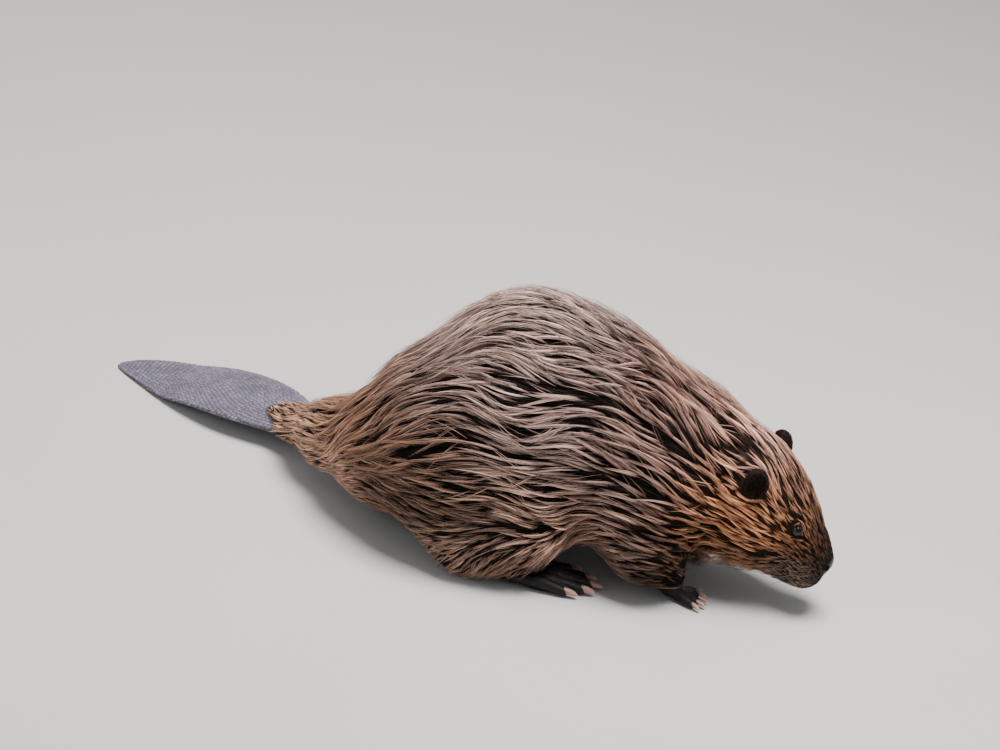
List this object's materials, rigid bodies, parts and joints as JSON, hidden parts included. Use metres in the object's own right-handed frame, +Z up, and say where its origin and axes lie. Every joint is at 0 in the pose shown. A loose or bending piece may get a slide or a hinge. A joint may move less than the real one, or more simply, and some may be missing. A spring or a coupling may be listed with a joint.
{
  "type": "beaver",
  "caption": "Life-size still model of an adult beaver, hunched with its head reaching down and its flat tail swept to one side, resting on its feet and tail tip.",
  "frame": {"origin": "middle of the footprint of the whole animal, on the floor it rests on", "axes": "+X from tail to nose, +Y to the animal's left, +Z up"},
  "size_m": [0.8592, 0.4096, 0.3016],
  "materials": {
    "coat_back": "wet guard hair, taupe brown, clumped in long pointed locks over near-black underfur",
    "coat_face": "short ginger-brown guard hair in fine locks, darker on the muzzle",
    "coat_flank": "softer, darker brown fur, half wet",
    "bare_skin": "black leathery skin of the paws, ears and nose",
    "tail_skin": "slate-grey scaly skin, slightly shiny",
    "eye": "dark glossy eye",
    "claw": "smooth brown horn, paler at the tip"
  },
  "bodies": {
    "root": {"head": "coat_face", "neck": "coat_back", "trunk": "coat_back", "tail_root": "coat_back", "tail_paddle": "tail_skin", "foreleg_left": "coat_flank", "hind_leg_left": "coat_flank", "forepaw_left": "bare_skin", "hind_foot_left": "bare_skin", "ear_left": "bare_skin", "eye_left": "eye", "claw_forepaw_left_1": "claw", "claw_forepaw_left_2": "claw", "claw_forepaw_left_3": "claw", "claw_forepaw_left_4": "claw", "claw_forepaw_left_5": "claw", "claw_hind_foot_left_1": "claw", "claw_hind_foot_left_2": "claw", "claw_hind_foot_left_3": "claw", "claw_hind_foot_left_4": "claw", "claw_hind_foot_left_5": "claw", "foreleg_right": "coat_flank", "hind_leg_right": "coat_flank", "forepaw_right": "bare_skin", "hind_foot_right": "bare_skin", "ear_right": "bare_skin", "eye_right": "eye", "claw_forepaw_right_1": "claw", "claw_forepaw_right_2": "claw", "claw_forepaw_right_3": "claw", "claw_forepaw_right_4": "claw", "claw_forepaw_right_5": "claw", "claw_hind_foot_right_1": "claw", "claw_hind_foot_right_2": "claw", "claw_hind_foot_right_3": "claw", "claw_hind_foot_right_4": "claw", "claw_hind_foot_right_5": "claw"}
  },
  "joints": []
}
